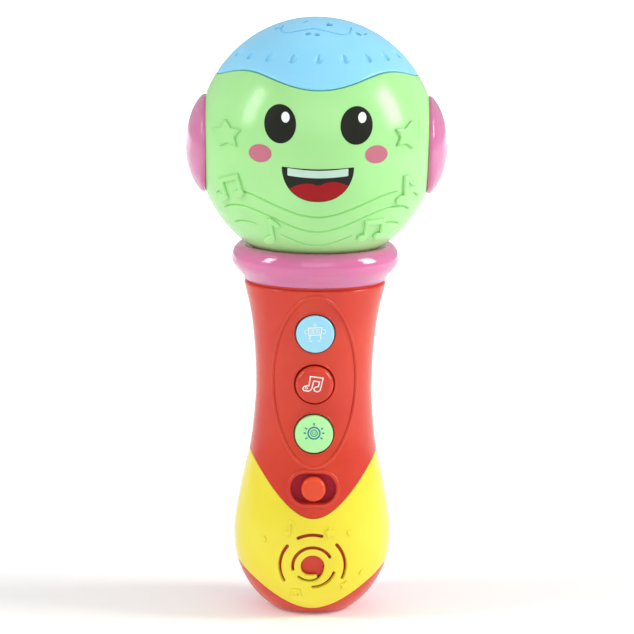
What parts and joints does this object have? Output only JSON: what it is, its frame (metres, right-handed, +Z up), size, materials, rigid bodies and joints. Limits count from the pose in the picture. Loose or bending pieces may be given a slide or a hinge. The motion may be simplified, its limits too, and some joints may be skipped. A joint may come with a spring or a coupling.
{
  "type": "toy microphone",
  "caption": "Toddler's toy microphone: round smiling head with clear ears and a cut-through cap, waisted handle with press buttons, slide switch, speaker grille and battery bay.",
  "frame": {"origin": "centre of the flat base, on the surface that the toy stands on", "axes": "+Z up the handle to the head, -Y out of the face and the buttons, +X to the right of someone who faces the toy"},
  "size_m": [0.093, 0.0836, 0.2099],
  "materials": {
    "green_plastic": "smooth glossy pale green moulding",
    "blue_plastic": "satin pale blue moulding",
    "white_plastic": "milky white moulding",
    "pink_translucent": "clear pink moulding, polished",
    "red_plastic": "glossy red moulding",
    "yellow_plastic": "glossy yellow moulding",
    "button_blue": "glossy light blue moulding",
    "button_green": "glossy light green moulding",
    "silicone": "translucent silicone",
    "circuit_board": "solder mask on laminate",
    "black_plastic": "moulded black",
    "led_red": "clear tinted lens",
    "led_green": "clear tinted lens",
    "led_blue": "clear tinted lens",
    "screw_steel": "zinc plated",
    "contact_steel": "nickel plated sheet and wire",
    "capacitor_sleeve": "shrink sleeve",
    "speaker_paper": "pressed black paper",
    "magnet": "plated magnet can",
    "battery_wrap": "printed steel can",
    "wire_grey": "insulated lead",
    "wire_red": "insulated lead",
    "wire_black": "insulated lead"
  },
  "bodies": {
    "housing": {"head_front": "green_plastic", "head_back": "green_plastic", "head_cap": "blue_plastic", "cap_diffuser": "white_plastic", "led_carrier": "white_plastic", "ear_left": "pink_translucent", "ear_right": "pink_translucent", "collar_ring": "pink_translucent", "handle_front": "red_plastic", "handle_back": "red_plastic", "speaker_cover": "yellow_plastic", "rubber_dome_blue": "silicone", "rubber_dome_red": "silicone", "rubber_dome_green": "silicone", "main_board": "circuit_board", "led_board": "circuit_board", "battery_tray": "black_plastic", "sound_chip": "black_plastic", "led_front": "led_red", "led_right": "led_green", "led_left": "led_blue", "head_screw_1": "screw_steel", "head_screw_2": "screw_steel", "case_screw_1": "screw_steel", "case_screw_2": "screw_steel", "case_screw_3": "screw_steel", "case_screw_4": "screw_steel", "board_screw_1": "screw_steel", "board_screw_2": "screw_steel", "contact_spring_1": "contact_steel", "contact_spring_2": "contact_steel", "contact_spring_3": "contact_steel", "contact_plate_bottom": "contact_steel", "contact_plate_top": "contact_steel", "slide_switch_body": "contact_steel", "speaker_frame": "contact_steel", "capacitor": "capacitor_sleeve", "speaker_cone": "speaker_paper", "speaker_magnet": "magnet", "battery_1": "battery_wrap", "battery_2": "battery_wrap", "battery_3": "battery_wrap", "led_lead": "wire_grey", "speaker_lead": "wire_red", "battery_lead": "wire_black"},
    "blue_button": {"button_blue": "button_blue"},
    "red_button": {"button_red": "red_plastic"},
    "green_button": {"button_green": "button_green"},
    "power_switch": {"switch_knob": "red_plastic", "slide_switch_slider": "black_plastic"},
    "battery_door": {"battery_door": "red_plastic"},
    "door_screw": {"door_screw": "screw_steel"}
  },
  "joints": [
    {"name": "blue_button_press", "type": "slide", "parent": "housing", "child": "blue_button", "axis": [0, 1, 0], "range_m": [0, 0.0012], "stiffness_N_per_m": 800, "deforming": ["rubber_dome_blue"]},
    {"name": "red_button_press", "type": "slide", "parent": "housing", "child": "red_button", "axis": [0, 1, 0], "range_m": [0, 0.0012], "stiffness_N_per_m": 800, "deforming": ["rubber_dome_red"]},
    {"name": "green_button_press", "type": "slide", "parent": "housing", "child": "green_button", "axis": [0, 1, 0], "range_m": [0, 0.0012], "stiffness_N_per_m": 800, "deforming": ["rubber_dome_green"]},
    {"name": "power_switch_slide", "type": "slide", "parent": "housing", "child": "power_switch", "axis": [1, 0, 0], "range_m": [-0.003, 0.003]},
    {"name": "battery_door_lift", "type": "slide", "parent": "housing", "child": "battery_door", "axis": [0, 1, 0], "range_m": [0, 0.03]},
    {"name": "door_screw_turn", "type": "hinge", "parent": "battery_door", "child": "door_screw", "pos_m": [0, 0.0183, 0.0662], "axis": [0, 1, 0], "continuous": true}
  ]
}
